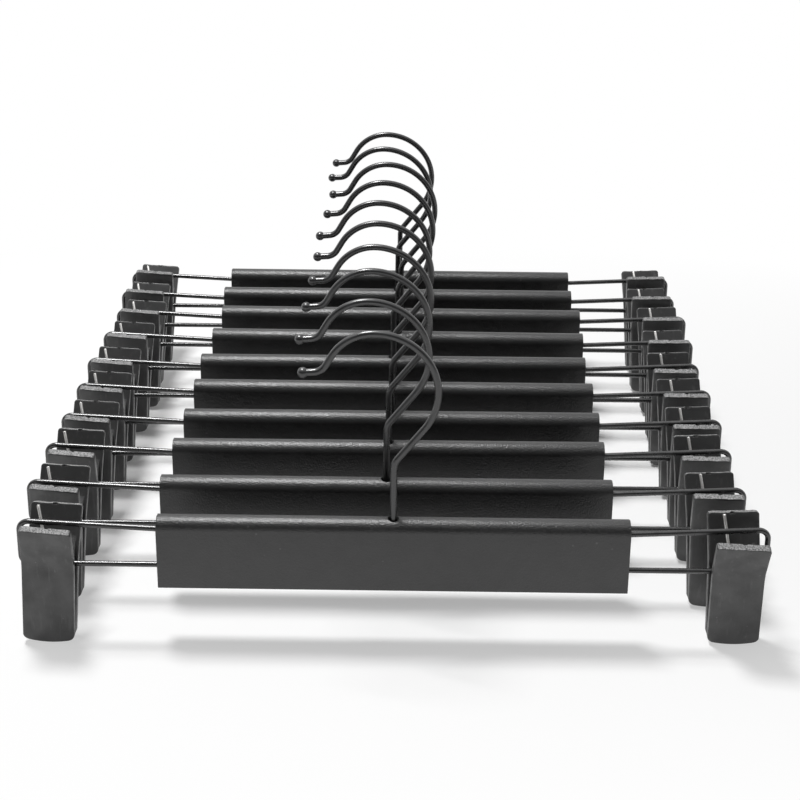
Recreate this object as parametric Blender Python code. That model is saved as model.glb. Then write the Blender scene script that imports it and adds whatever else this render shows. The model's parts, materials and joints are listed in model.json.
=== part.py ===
"""A set of ten trouser hangers, stood in a row on their clips.

Each hanger is a closed loop of steel wire under a round-topped bar, a hook that turns in the bar,
and two sprung clips. A clip is two identical jaws, ears interlocked, that turn on the loop's lower rod.
X runs along the bars, Y from the front hanger to the back one, and the clip tips stand on Z = 0.
"""

import math
from collections import namedtuple

import bmesh
import bpy
from mathutils import Matrix, Vector

MM = 0.001

# Wire loop: the lower rod carries the clips, the upper rod runs between their handles
LOOP_WIDTH = 320 * MM
WIRE_DIAMETER = 2.4 * MM
ROD_SPACING = 17.4 * MM
ARM_RISE = 3.0 * MM
UPPER_BEND_RADIUS = 4.0 * MM
LOWER_BEND_RADIUS = 2.4 * MM

# Bar over the middle of the loop
BAR_LENGTH = 200 * MM
BAR_THICKNESS = 10.0 * MM
BAR_CROWN = 6.5 * MM
BAR_SKIRT = 8.5 * MM

# Hook, from the head inside the bar to the ball at the tip
HOOK_DIAMETER = 3.0 * MM
HOOK_HEAD_DIAMETER = 4.6 * MM
HOOK_HEAD_HEIGHT = 1.3 * MM
HOOK_SEAT_DEPTH = 2.6 * MM
HOOK_NECK = 23.3 * MM
HOOK_NECK_RADIUS = 8.0 * MM
HOOK_NECK_TURN = 38.0
HOOK_SHOULDER = 17.5 * MM
HOOK_ARCH_RADIUS = 26.5 * MM
HOOK_TAIL_RADIUS = 20.0 * MM
HOOK_TAIL_TURN = 60.0
HOOK_LIMB = 5.0 * MM
HOOK_LIP_RADIUS = 6.0 * MM
HOOK_LIP_TURN = 56.0
HOOK_LIP = 4.6 * MM
HOOK_BALL_DIAMETER = 4.5 * MM

# Clip jaw, measured from the lower rod
CLIP_WIDTH = 22.0 * MM
JAW_THICKNESS = 3.2 * MM
JAW_REACH = 36.3 * MM
JAW_KNEE_HEIGHT = 2.6 * MM
HANDLE_RISE = 21.5 * MM
HANDLE_SPREAD = 28.0 * MM
TIP_CORNER = 3.0 * MM
HANDLE_CORNER = 1.2 * MM
EAR_WIDTH = 2.0 * MM
EAR_WALL = 1.25 * MM
EAR_SETBACK = 1.4 * MM
EAR_SHOULDER = 4.0 * MM
EAR_ROOT = 1.0 * MM

# Clearances
SWIVEL_CLEARANCE = 0.25 * MM
PIVOT_CLEARANCE = 0.25 * MM
JAW_GAP = 0.3 * MM
EAR_PLATE_GAP = 0.7 * MM
EAR_BEND_GAP = 0.4 * MM

# Facets
WIRE_BEVEL = 1
BEND_STEP = 20.0
LOOP_BEND_STEPS = 3
BAR_TOP_STEPS = 8
SEAT_SIDES = 12
EAR_STEPS = 4
PIVOT_SIDES = 6

# How each hanger was set down: free space to the hanger in front at the handles, sideways shift, turn on
# the floor, lean of the left and right clip on the lower rod (forward at the top is positive), hook turn
Stance = namedtuple("Stance", "gap shift turn left_lean right_lean hook_turn")
ROW = (
    Stance(0.0 * MM, 1.0 * MM, 0.0, -3.0, 5.0, 0.0),
    Stance(6.0 * MM, -2.5 * MM, 0.0, -5.0, -5.0, 1.0),
    Stance(5.5 * MM, -2.0 * MM, 0.3, -2.0, -3.0, 0.0),
    Stance(2.5 * MM, -1.0 * MM, 0.2, -7.0, -5.0, -2.0),
    Stance(4.0 * MM, -0.5 * MM, 0.0, -6.0, -7.0, 0.0),
    Stance(1.0 * MM, -1.0 * MM, 0.2, -8.0, -3.0, 2.0),
    Stance(3.5 * MM, 1.0 * MM, -0.4, -7.0, -11.0, 1.0),
    Stance(3.0 * MM, 2.5 * MM, -0.3, -10.0, -9.0, 0.0),
    Stance(1.2 * MM, 0.5 * MM, 0.0, -12.0, -11.0, -2.0),
    Stance(2.0 * MM, 1.5 * MM, 0.0, -13.0, -13.0, 0.0),
)

# Worked out from the sizes above
WIRE_RADIUS = WIRE_DIAMETER / 2
HOOK_RADIUS = HOOK_DIAMETER / 2
LOOP_HALF = LOOP_WIDTH / 2 - WIRE_RADIUS
BAR_BOTTOM = -BAR_SKIRT
BAR_TOP = ROD_SPACING + BAR_CROWN
PIVOT_RADIUS = WIRE_RADIUS + PIVOT_CLEARANCE
EAR_RADIUS = PIVOT_RADIUS + EAR_WALL
OUTER_EAR = CLIP_WIDTH / 2 - EAR_SETBACK - EAR_WIDTH / 2
INNER_EAR = OUTER_EAR - EAR_WIDTH - JAW_GAP
CLIP_CENTRE = LOOP_HALF - LOWER_BEND_RADIUS - EAR_BEND_GAP - OUTER_EAR - EAR_WIDTH / 2


def clear_scene():
    """Empty the scene of its objects."""
    for obj in list(bpy.data.objects):
        bpy.data.objects.remove(obj, do_unlink=True)


def make_material(name, colour, roughness, metallic):
    """A Principled material of one plain colour."""
    material = bpy.data.materials.new(name)
    material.use_nodes = True
    shader = material.node_tree.nodes["Principled BSDF"]
    shader.inputs["Base Color"].default_value = (*colour, 1.0)
    shader.inputs["Roughness"].default_value = roughness
    shader.inputs["Metallic"].default_value = metallic
    return material


def link(name, data):
    """A new object of the scene; no data makes an empty."""
    obj = bpy.data.objects.new(name, data)
    bpy.context.scene.collection.objects.link(obj)
    return obj


def evaluated_mesh(obj, name):
    """The object's finished shape as a mesh of its own; the helper object goes."""
    graph = bpy.context.evaluated_depsgraph_get()
    mesh = bpy.data.meshes.new_from_object(obj.evaluated_get(graph))
    mesh.name = name
    bpy.data.objects.remove(obj, do_unlink=True)
    return mesh


def shade(mesh, degrees=35.0):
    """Smooth shading that keeps the true edges."""
    mesh.shade_smooth()
    mesh.set_sharp_from_angle(angle=math.radians(degrees))


def mesh_from(bm, name):
    """Close the bmesh into a mesh with its faces pointing out."""
    bmesh.ops.recalc_face_normals(bm, faces=bm.faces)
    mesh = bpy.data.meshes.new(name)
    bm.to_mesh(mesh)
    bm.free()
    return mesh


def extrude_outline(outline, x_low, x_high):
    """A bmesh prism along X from an outline of (y, z) points."""
    bm = bmesh.new()
    corners = [bm.verts.new((x_low, y, z)) for y, z in outline]
    face = bm.faces.new(corners)
    sweep = bmesh.ops.extrude_face_region(bm, geom=[face])
    moved = [item for item in sweep["geom"] if isinstance(item, bmesh.types.BMVert)]
    bmesh.ops.translate(bm, verts=moved, vec=(x_high - x_low, 0, 0))
    return bm


def boolean(target, operation, other):
    """Put an exact Boolean on the target."""
    modifier = target.modifiers.new(operation.title(), "BOOLEAN")
    modifier.operation = operation
    modifier.solver = "EXACT"
    modifier.object = other


def rounded_corner(before, corner, after, radius, steps):
    """Points of the arc that rounds one corner of a path in the X-Z plane."""
    back = (before - corner).normalized()
    ahead = (after - corner).normalized()
    half = back.angle(ahead) / 2
    centre = corner + (back + ahead).normalized() * (radius / math.sin(half))
    first = corner + back * (radius / math.tan(half)) - centre
    last = corner + ahead * (radius / math.tan(half)) - centre
    sweep = first.angle_signed(last)
    return [centre + Matrix.Rotation(-sweep * k / steps, 2) @ first for k in range(steps + 1)]


def loop_points():
    """Centre line of the wire loop, lower rod on the X axis."""
    arm_end = ROD_SPACING + ARM_RISE
    left_kink = Vector((-BAR_LENGTH / 2, ROD_SPACING))
    right_kink = Vector((BAR_LENGTH / 2, ROD_SPACING))
    ring = [
        right_kink,
        Vector((LOOP_HALF, arm_end)),
        Vector((LOOP_HALF, 0)),
        Vector((-LOOP_HALF, 0)),
        Vector((-LOOP_HALF, arm_end)),
        left_kink,
    ]
    radii = (UPPER_BEND_RADIUS, LOWER_BEND_RADIUS, LOWER_BEND_RADIUS, UPPER_BEND_RADIUS)
    points = [right_kink]
    for before, corner, after, radius in zip(ring, ring[1:], ring[2:], radii):
        points += rounded_corner(before, corner, after, radius, LOOP_BEND_STEPS)
    return points + [left_kink]


def hook_points():
    """Centre line of the hook in the X-Z plane from the bar's top, as (point, radius) pairs."""
    head_top = -HOOK_SEAT_DEPTH - SWIVEL_CLEARANCE
    head_radius = HOOK_HEAD_DIAMETER / 2
    step = WIRE_RADIUS / 20
    trail = [
        (Vector((0, head_top - HOOK_HEAD_HEIGHT)), head_radius),
        (Vector((0, head_top - step)), head_radius),
        (Vector((0, head_top)), HOOK_RADIUS),
        (Vector((0, HOOK_NECK)), HOOK_RADIUS),
    ]
    heading = 90.0

    def run(length):
        ahead = Vector((math.cos(math.radians(heading)), math.sin(math.radians(heading))))
        trail.append((trail[-1][0] + ahead * length, HOOK_RADIUS))

    def bend(radius, turn):
        side = math.copysign(90.0, turn)
        angle = math.radians(heading + side)
        start = trail[-1][0]
        centre = start + Vector((math.cos(angle), math.sin(angle))) * radius
        steps = max(2, round(abs(turn) / BEND_STEP))
        for k in range(1, steps + 1):
            swung = Matrix.Rotation(math.radians(turn * k / steps), 2) @ (start - centre)
            trail.append((centre + swung, HOOK_RADIUS))
        return heading + turn

    heading = bend(HOOK_NECK_RADIUS, -HOOK_NECK_TURN)
    run(HOOK_SHOULDER)
    heading = bend(HOOK_ARCH_RADIUS, 90.0 + HOOK_NECK_TURN)
    heading = bend(HOOK_TAIL_RADIUS, HOOK_TAIL_TURN)
    run(HOOK_LIMB)
    heading = bend(HOOK_LIP_RADIUS, -HOOK_LIP_TURN)

    ahead = Vector((math.cos(math.radians(heading)), math.sin(math.radians(heading))))
    ball_radius = HOOK_BALL_DIAMETER / 2
    ball_centre = trail[-1][0] + ahead * HOOK_LIP
    neck_angle = math.asin(HOOK_RADIUS / ball_radius)
    ball_steps = 5
    for k in range(ball_steps + 1):
        around = neck_angle + (math.radians(170) - neck_angle) * k / ball_steps
        along = -ball_radius * math.cos(around)
        trail.append((ball_centre + ahead * along, ball_radius * math.sin(around)))
    return trail


def tube(name, centre_line, radius, closed):
    """A wire along (point, radius) pairs in the X-Z plane, as a curve object."""
    curve = bpy.data.curves.new(name, "CURVE")
    curve.dimensions = "3D"
    curve.bevel_depth = radius
    curve.bevel_resolution = WIRE_BEVEL
    curve.use_fill_caps = not closed
    spline = curve.splines.new("POLY")
    spline.points.add(len(centre_line) - 1)
    spline.use_cyclic_u = closed
    for point, (place, own_radius) in zip(spline.points, centre_line):
        point.co = (place.x, 0, place.y, 1)
        point.radius = own_radius / radius
    return link(name, curve)


def hook_mesh(material):
    """The hook: head, neck, arch and lip with its ball, in one wire."""
    mesh = evaluated_mesh(tube("hook_wire", hook_points(), HOOK_RADIUS, False), "hook")
    mesh.materials.append(material)
    shade(mesh)
    return mesh


def seat_cutter():
    """Neck hole and head chamber that the hook turns in, cut down from the bar's top."""
    neck = HOOK_RADIUS + SWIVEL_CLEARANCE
    chamber = HOOK_HEAD_DIAMETER / 2 + SWIVEL_CLEARANCE
    floor = -HOOK_SEAT_DEPTH - HOOK_HEAD_HEIGHT - 2 * SWIVEL_CLEARANCE
    profile = [(neck, BAR_CROWN), (neck, -HOOK_SEAT_DEPTH), (chamber, -HOOK_SEAT_DEPTH), (chamber, floor)]
    bm = bmesh.new()
    rings = []
    for radius, height in profile:
        ring = bmesh.ops.create_circle(bm, segments=SEAT_SIDES, radius=radius)["verts"]
        bmesh.ops.translate(bm, verts=ring, vec=(0, 0, BAR_TOP + height))
        rings.append(ring)
    for upper, lower in zip(rings, rings[1:]):
        for k in range(SEAT_SIDES):
            after = (k + 1) % SEAT_SIDES
            bm.faces.new((upper[k], upper[after], lower[after], lower[k]))
    bm.faces.new(rings[0])
    bm.faces.new(rings[-1])
    cutter = link("hook_seat_cutter", mesh_from(bm, "hook_seat_cutter"))
    cutter.hide_render = True
    cutter.display_type = "WIRE"
    return cutter


def frame_mesh(bar_material, wire_material):
    """The wire loop with the bar over its middle, and the hook's seat in the bar."""
    loop = tube("loop_wire", [(p, WIRE_RADIUS) for p in loop_points()], WIRE_RADIUS, True)
    wire = evaluated_mesh(loop, "loop_wire")
    wire.materials.append(bar_material)
    wire.materials.append(wire_material)
    for polygon in wire.polygons:
        polygon.material_index = 1
    wire_object = link("loop_wire", wire)

    half = BAR_THICKNESS / 2
    outline = [(-half, BAR_BOTTOM), (half, BAR_BOTTOM)]
    for k in range(BAR_TOP_STEPS + 1):
        angle = math.pi * k / BAR_TOP_STEPS
        outline.append((half * math.cos(angle), BAR_TOP - half + half * math.sin(angle)))
    bar = link("bar", mesh_from(extrude_outline(outline, -BAR_LENGTH / 2, BAR_LENGTH / 2), "bar"))
    bar.data.materials.append(bar_material)
    bar.data.materials.append(wire_material)

    cutter = seat_cutter()
    boolean(bar, "UNION", wire_object)
    boolean(bar, "DIFFERENCE", cutter)
    mesh = evaluated_mesh(bar, "frame")
    bpy.data.objects.remove(wire_object, do_unlink=True)
    bpy.data.objects.remove(cutter, do_unlink=True)
    shade(mesh)
    return mesh


def ear(x_centre, name):
    """One lug of a jaw, drilled for the lower rod; it leaves the plate at the front."""
    root = -(EAR_RADIUS + EAR_PLATE_GAP + EAR_ROOT)
    outline = [(root, EAR_SHOULDER), (root, -EAR_RADIUS)]
    for k in range(EAR_STEPS + 1):
        angle = math.pi * k / EAR_STEPS - math.pi / 2
        outline.append((EAR_RADIUS * math.cos(angle), EAR_RADIUS * math.sin(angle)))
    low = x_centre - EAR_WIDTH / 2
    high = x_centre + EAR_WIDTH / 2
    return link(name, mesh_from(extrude_outline(outline, low, high), name))


def pivot_cutter():
    """The bore for the lower rod through both ears, with the rod's clearance on its flats."""
    bm = bmesh.new()
    corner_radius = PIVOT_RADIUS / math.cos(math.pi / PIVOT_SIDES)
    bmesh.ops.create_cone(
        bm,
        cap_ends=True,
        segments=PIVOT_SIDES,
        radius1=corner_radius,
        radius2=corner_radius,
        depth=2 * CLIP_WIDTH,
        matrix=Matrix.Rotation(math.pi / 2, 4, "Y") @ Matrix.Rotation(math.pi / PIVOT_SIDES, 4, "Z"),
    )
    return link("pivot_cutter", mesh_from(bm, "pivot_cutter"))


def jaw_outline():
    """Side view of a front jaw as (y, z) points: tip at the floor, knee at the rod, splayed handle."""
    knee = EAR_RADIUS + EAR_PLATE_GAP
    inner_tip = Vector((-JAW_GAP / 2, -JAW_REACH))
    outer_tip = inner_tip - Vector((JAW_THICKNESS, 0))
    inner_knee = Vector((-knee, JAW_KNEE_HEIGHT))
    outer_knee = inner_knee - Vector((JAW_THICKNESS, 0))
    outer_top = Vector((-HANDLE_SPREAD / 2, HANDLE_RISE))
    along = (outer_top - outer_knee).normalized()
    inner_top = outer_top + Vector((along.y, -along.x)) * JAW_THICKNESS
    return [inner_tip, outer_tip, outer_knee, outer_top, inner_top, inner_knee]


def round_plate_corners(bm, at_tip, radius, segments):
    """Round the plate's two corners at its tip or at its handle, seen from the front."""
    half = CLIP_WIDTH / 2
    edges = []
    for edge in bm.edges:
        low, high = (vert.co for vert in edge.verts)
        on_side = abs(abs(low.x) - half) < MM / 100 and abs(low.x - high.x) < MM / 100
        if at_tip:
            on_end = max(low.z, high.z) < MM / 100 - JAW_REACH
        else:
            on_end = min(low.z, high.z) > HANDLE_RISE - MM / 100
        if on_side and on_end:
            edges.append(edge)
    bmesh.ops.bevel(bm, geom=edges, offset=radius, segments=segments, profile=0.5, affect="EDGES")


def jaw_mesh(material):
    """A jaw with its two ears; the same piece, turned about, is the opposite jaw."""
    bm = extrude_outline(jaw_outline(), -CLIP_WIDTH / 2, CLIP_WIDTH / 2)
    round_plate_corners(bm, True, TIP_CORNER, 2)
    round_plate_corners(bm, False, HANDLE_CORNER, 1)
    jaw = link("jaw", mesh_from(bm, "jaw"))
    helpers = [ear(-OUTER_EAR, "outer_ear"), ear(INNER_EAR, "inner_ear"), pivot_cutter()]
    boolean(jaw, "UNION", helpers[0])
    boolean(jaw, "UNION", helpers[1])
    boolean(jaw, "DIFFERENCE", helpers[2])
    mesh = evaluated_mesh(jaw, "jaw")
    for helper in helpers:
        bpy.data.objects.remove(helper, do_unlink=True)
    mesh.materials.append(material)
    shade(mesh)
    return mesh


def clip_turns(lean):
    """Rotations of the front and rear jaw about the lower rod for a clip's lean."""
    leaning = Matrix.Rotation(math.radians(lean), 4, "X")
    return leaning, leaning @ Matrix.Rotation(math.pi, 4, "Z")


def clip_corners(jaw, lean):
    """Every corner of a leaning clip, measured from the lower rod."""
    return [turn @ vert.co for turn in clip_turns(lean) for vert in jaw.vertices]


def reach(jaw, lean, forward, handles):
    """How far a leaning clip's handles, or its tips, stand out from the rod to the front or the back."""
    side = -1 if forward else 1
    zone = [corner for corner in clip_corners(jaw, lean) if (corner.z > 0) == handles]
    return max(side * corner.y for corner in zone)


def pitch(jaw, ahead, stance):
    """Distance from one hanger to the next that leaves the gap free at their nearest handles or tips."""
    leans = ((ahead.left_lean, stance.left_lean), (ahead.right_lean, stance.right_lean))
    needs = [
        reach(jaw, near, False, handles) + reach(jaw, far, True, handles)
        for near, far in leans
        for handles in (True, False)
    ]
    return max(needs) + stance.gap


def overhang(jaw, stance, forward):
    """How far a hanger's clips stand out from its rods to the front or the back."""
    leans = (stance.left_lean, stance.right_lean)
    return max(reach(jaw, lean, forward, handles) for lean in leans for handles in (True, False))


def standing_height(jaw, stance):
    """Height of the lower rod when the hanger stands on its clips."""
    leans = (stance.left_lean, stance.right_lean)
    return max(-min(corner.z for corner in clip_corners(jaw, lean)) for lean in leans)


def row_places(jaw):
    """Y of each hanger, with the row's front and back at equal distances."""
    places = [0.0]
    for ahead, stance in zip(ROW, ROW[1:]):
        places.append(places[-1] + pitch(jaw, ahead, stance))
    front = -overhang(jaw, ROW[0], True)
    back = places[-1] + overhang(jaw, ROW[-1], False)
    middle = (front + back) / 2
    return [place - middle for place in places]


def place_clip(hanger, name, x, lean, jaw):
    """A clip on the lower rod: an empty on the rod that leans, and the two jaws on it."""
    clip = link(name + "_clip", None)
    clip.parent = hanger
    clip.location = (x, 0, 0)
    clip.rotation_euler = (math.radians(lean), 0, 0)
    front = link(name + "_front_jaw", jaw)
    front.parent = clip
    rear = link(name + "_rear_jaw", jaw)
    rear.parent = clip
    rear.rotation_euler = (0, 0, math.pi)


def place_hanger(number, stance, y, frame, hook, jaw):
    """One hanger on an empty at the middle of its lower rod."""
    name = f"hanger_{number:02d}"
    hanger = link(name, None)
    hanger.location = (stance.shift, y, standing_height(jaw, stance))
    hanger.rotation_euler = (0, 0, math.radians(stance.turn))
    frame_object = link(name + "_frame", frame)
    frame_object.parent = hanger
    hook_object = link(name + "_hook", hook)
    hook_object.parent = hanger
    hook_object.location = (0, 0, BAR_TOP)
    hook_object.rotation_euler = (0, 0, math.radians(stance.hook_turn))
    place_clip(hanger, name + "_left", -CLIP_CENTRE, stance.left_lean, jaw)
    place_clip(hanger, name + "_right", CLIP_CENTRE, stance.right_lean, jaw)


def main():
    clear_scene()
    bar_black = make_material("bar_matt_black", (0.022, 0.022, 0.022), 0.6, 0.0)
    wire_black = make_material("wire_black", (0.012, 0.012, 0.012), 0.3, 0.5)
    hook_black = make_material("hook_black", (0.012, 0.012, 0.012), 0.3, 0.5)
    jaw_grey = make_material("jaw_dark_grey", (0.06, 0.06, 0.06), 0.55, 0.0)
    frame = frame_mesh(bar_black, wire_black)
    hook = hook_mesh(hook_black)
    jaw = jaw_mesh(jaw_grey)
    for number, (stance, y) in enumerate(zip(ROW, row_places(jaw)), start=1):
        place_hanger(number, stance, y, frame, hook, jaw)


main()
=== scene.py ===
"""Finished looks of a row of ten trouser hangers with sprung clips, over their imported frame."""

import json
import math

import bmesh
import bpy
from bpy.props import FloatProperty, FloatVectorProperty, IntProperty, PointerProperty
from bpy.types import Operator, Panel, PropertyGroup
from mathutils import Matrix, Vector, noise

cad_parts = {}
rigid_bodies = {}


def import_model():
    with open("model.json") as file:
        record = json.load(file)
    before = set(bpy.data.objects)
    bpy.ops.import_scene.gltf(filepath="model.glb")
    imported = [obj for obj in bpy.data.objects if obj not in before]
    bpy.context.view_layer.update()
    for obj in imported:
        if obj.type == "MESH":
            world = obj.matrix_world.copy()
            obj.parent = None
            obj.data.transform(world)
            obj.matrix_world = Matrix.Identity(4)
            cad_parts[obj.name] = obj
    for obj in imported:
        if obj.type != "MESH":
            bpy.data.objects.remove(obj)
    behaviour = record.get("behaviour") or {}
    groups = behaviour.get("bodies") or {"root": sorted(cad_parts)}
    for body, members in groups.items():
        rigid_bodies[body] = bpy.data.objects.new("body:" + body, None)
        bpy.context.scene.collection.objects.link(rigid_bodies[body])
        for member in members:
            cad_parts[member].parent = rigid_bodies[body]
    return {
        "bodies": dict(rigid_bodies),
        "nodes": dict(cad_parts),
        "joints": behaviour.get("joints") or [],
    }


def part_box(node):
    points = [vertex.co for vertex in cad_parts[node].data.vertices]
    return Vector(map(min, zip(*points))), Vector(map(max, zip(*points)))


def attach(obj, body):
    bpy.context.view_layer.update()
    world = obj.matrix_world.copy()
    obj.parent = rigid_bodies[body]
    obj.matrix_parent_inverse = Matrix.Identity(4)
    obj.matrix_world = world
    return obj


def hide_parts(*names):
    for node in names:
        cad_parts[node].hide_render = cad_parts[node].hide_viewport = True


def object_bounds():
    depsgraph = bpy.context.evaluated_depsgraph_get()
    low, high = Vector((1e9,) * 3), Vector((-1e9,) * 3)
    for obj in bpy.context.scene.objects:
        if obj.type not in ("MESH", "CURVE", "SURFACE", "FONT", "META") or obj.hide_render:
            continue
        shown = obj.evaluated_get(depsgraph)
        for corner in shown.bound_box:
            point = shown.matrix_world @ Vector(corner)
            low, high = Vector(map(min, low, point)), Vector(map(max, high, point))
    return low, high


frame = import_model()
CAD_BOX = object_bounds()

bl_info = {
    "name": "Clip hanger row",
    "version": (1, 0, 0),
    "blender": (4, 5, 0),
    "location": "View3D > Sidebar > Hangers",
    "description": "Dresses a row of trouser hangers: wire loops, bars, hooks, clip jaws and springs",
    "category": "Object",
}

SIDES = ("left", "right")
JOINTS = {joint["name"]: joint for joint in frame["joints"]}
HANGERS = sorted(body[: -len("_frame")] for body in frame["bodies"] if body.endswith("_frame"))
SAME_POINT = 1e-7
SIDE_ON = Matrix.Rotation(math.pi / 2, 4, "Y")


# Sizes and colours that a user would change

def size(name, description, default):
    """A length in metres."""
    return FloatProperty(name=name, description=description, default=default, min=0.0, precision=5,
                         unit="LENGTH")


def angle(name, description, degrees):
    """A turn, written in degrees."""
    return FloatProperty(name=name, description=description, default=math.radians(degrees),
                         subtype="ANGLE")


def colour(name, description, default):
    """A paint or plastic colour."""
    return FloatVectorProperty(name=name, description=description, default=default, size=3,
                               min=0.0, max=1.0, subtype="COLOR")


class LoopSizes(PropertyGroup):
    """The closed wire loop that runs through the bar and the clips."""
    width: size("Width", "Loop from end to end", 0.3200)
    wire: size("Wire", "Diameter of the loop's wire", 0.0024)
    spacing: size("Rod spacing", "Lower rod to upper rod, inside the bar", 0.0174)
    rise: size("Arm rise", "How far the upper rod climbs from the bar to the loop's end", 0.0030)
    upper_bend: size("Upper bend", "Radius of the upper corners", 0.0040)
    lower_bend: size("Lower bend", "Radius of the lower corners", 0.0040)


class BarSizes(PropertyGroup):
    """The bar over the middle of the loop."""
    length: size("Length", "Bar from end to end", 0.2000)
    thickness: size("Thickness", "Bar from front to back", 0.0100)
    crown: size("Crown", "Bar above the upper rod", 0.0065)
    skirt: size("Skirt", "Bar below the lower rod", 0.0085)
    edge: size("Edge", "Rounding of the bar's sharp edges", 0.00035)
    socket: size("Socket", "Radius of the hook's hole at the top", 0.00255)


class HookSizes(PropertyGroup):
    """The hook's wire, as it is bent."""
    wire: size("Wire", "Diameter of the hook's wire", 0.0030)
    seat: size("Seat", "Depth of the hook below the bar's top", 0.0026)
    head: size("Head", "Diameter of the head inside the bar", 0.0046)
    head_height: size("Head height", "Height of that head", 0.0013)
    play: size("Play", "Room above the head", 0.00025)
    neck: size("Neck", "Straight wire above the bar", 0.0233)
    neck_radius: size("Neck radius", "Bend at the top of the neck", 0.0080)
    neck_turn: angle("Neck turn", "Turn at the top of the neck", 38.0)
    shoulder: size("Shoulder", "Straight wire after the neck", 0.0175)
    arch_radius: size("Arch radius", "Bend over the rail", 0.0265)
    tail_radius: size("Tail radius", "Bend after the arch", 0.0200)
    tail_turn: angle("Tail turn", "Turn after the arch", 60.0)
    limb: size("Limb", "Straight wire after the tail", 0.0050)
    lip_radius: size("Lip radius", "Bend before the ball", 0.0060)
    lip_turn: angle("Lip turn", "Turn before the ball", 56.0)
    lip: size("Lip", "Last bend to the middle of the ball", 0.0046)
    ball: size("Ball", "Diameter of the ball at the tip", 0.0045)


class JawSizes(PropertyGroup):
    """One jaw of a clip; both jaws come from one mould."""
    width: size("Width", "Jaw from side to side", 0.0220)
    thickness: size("Thickness", "Wall of the jaw", 0.0032)
    reach: size("Reach", "Rod down to the tip", 0.0363)
    knee: size("Knee", "Rod up to the bend of the jaw", 0.0026)
    knee_radius: size("Knee radius", "Rounding of that bend", 0.0300)
    knee_out: size("Knee offset", "Rod forward to the outside of the bend", 0.0066)
    tip_out: size("Tip offset", "Rod forward to the outside of the tip", 0.00335)
    rise: size("Handle rise", "Rod up to the handle's outer edge", 0.0215)
    spread: size("Handle offset", "Rod forward to the handle's outer edge", 0.0140)
    tip_corner: size("Tip corner", "Rounding of the tip's corners", 0.0024)
    handle_corner: size("Handle corner", "Rounding of the handle's corners", 0.0014)
    crown: size("Tip crown", "How much the tip's edge bows", 0.0016)
    edge: size("Edge", "Rounding of the moulded edges", 0.00035)
    ear: size("Ear radius", "Round end of the ears on the rod", 0.0027)
    ear_width: size("Ear width", "One ear along the rod", 0.0020)
    outer_ear: size("Outer ear", "Middle of the jaw to the middle of one ear", 0.0086)
    inner_ear: size("Inner ear", "Middle of the jaw to the middle of the other ear", 0.0063)
    web: size("Web", "Handle's end down to the top of the ears' webs", 0.0110)
    bore: size("Bore", "Radius of the hole for the rod, loose enough for the clip's roll", 0.0018)
    left_roll: angle("Left roll", "Roll of the left clips on the rod, handles towards the bar", 3.1)
    right_roll: angle("Right roll", "Roll of the right clips on the rod, handles towards the bar", 2.4)
    left_skew: angle("Left skew", "Skew of the left front jaws, pushed round by the spring", -1.0)
    right_skew: angle("Right skew", "Skew of the right front jaws, pushed round by the spring", 2.5)
    twist: angle("Twist", "Further twist of the front jaws up to the handle's end", 4.5)


class SpringSizes(PropertyGroup):
    """The torsion spring of a clip."""
    wire: size("Wire", "Diameter of the spring's wire", 0.0014)
    coil: size("Coil radius", "Rod's middle to the middle of the wire", 0.0023)
    reach: size("Legs apart", "Middle of the coil to each leg, along the rod", 0.0029)
    leg: size("Leg", "Length of each leg", 0.0246)
    left_lean: angle("Left lean", "Sideways lean of the rear leg in the left clips", 16.0)
    right_lean: angle("Right lean", "Sideways lean of the rear leg in the right clips", 7.0)
    shift: size("Shift", "How far the coil has crept along the rod", 0.0016)
    turns: IntProperty(name="Turns", description="Whole turns of the coil", default=4, min=1)


class Finishes(PropertyGroup):
    """Colours of the finishes."""
    bar: colour("Bar", "Matt black skin of the bars", (0.0085, 0.0085, 0.0087))
    bar_rub: colour("Bar rub", "Rubbed patches of that skin", (0.014, 0.014, 0.0143))
    wire: colour("Wire", "Black lacquer of the loops", (0.005, 0.005, 0.0053))
    hook: colour("Hook", "Black lacquer of the hooks", (0.0055, 0.0055, 0.006))
    jaw: colour("Jaw", "Dark grey plastic of the clips", (0.023, 0.0231, 0.0234))
    # Pale colour of scuffed edges, and of the handle ends, where it is a painted highlight together with
    # scuffing.
    jaw_pale: colour("Jaw edge", "Scuffed plastic at edges and on the handles' ends", (0.38, 0.38, 0.38))
    steel: colour("Steel", "Bright wire of the springs", (0.86, 0.85, 0.83))
    floor: colour("Floor", "Studio floor", (0.93, 0.93, 0.93))


class HangerSettings(PropertyGroup):
    """Everything that can be changed on the row."""
    loop: PointerProperty(type=LoopSizes)
    bar: PointerProperty(type=BarSizes)
    hook: PointerProperty(type=HookSizes)
    jaw: PointerProperty(type=JawSizes)
    spring: PointerProperty(type=SpringSizes)
    finish: PointerProperty(type=Finishes)


def settings():
    """The row's settings in the open scene."""
    return bpy.context.scene.hanger_row


# Where each hanger stands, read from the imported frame

def hinge_place(hanger, side):
    """The point on the lower rod where a clip turns."""
    return Vector(JOINTS[hanger + "_" + side + "_jaw_hinge"]["pos_m"])


def hanger_turn(hanger):
    """The turn of a hanger about the upright, which brings X along its lower rod."""
    along = hinge_place(hanger, "right") - hinge_place(hanger, "left")
    return Matrix.Rotation(math.atan2(along.y, along.x), 4, "Z")


def hanger_place(hanger):
    """The middle of the lower rod, with X along the rod."""
    middle = (hinge_place(hanger, "left") + hinge_place(hanger, "right")) / 2
    return Matrix.Translation(middle) @ hanger_turn(hanger)


def packed_points(node, place):
    """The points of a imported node, as seen from a place."""
    back = place.inverted()
    return [back @ vertex.co for vertex in frame["nodes"][node].data.vertices]


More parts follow.
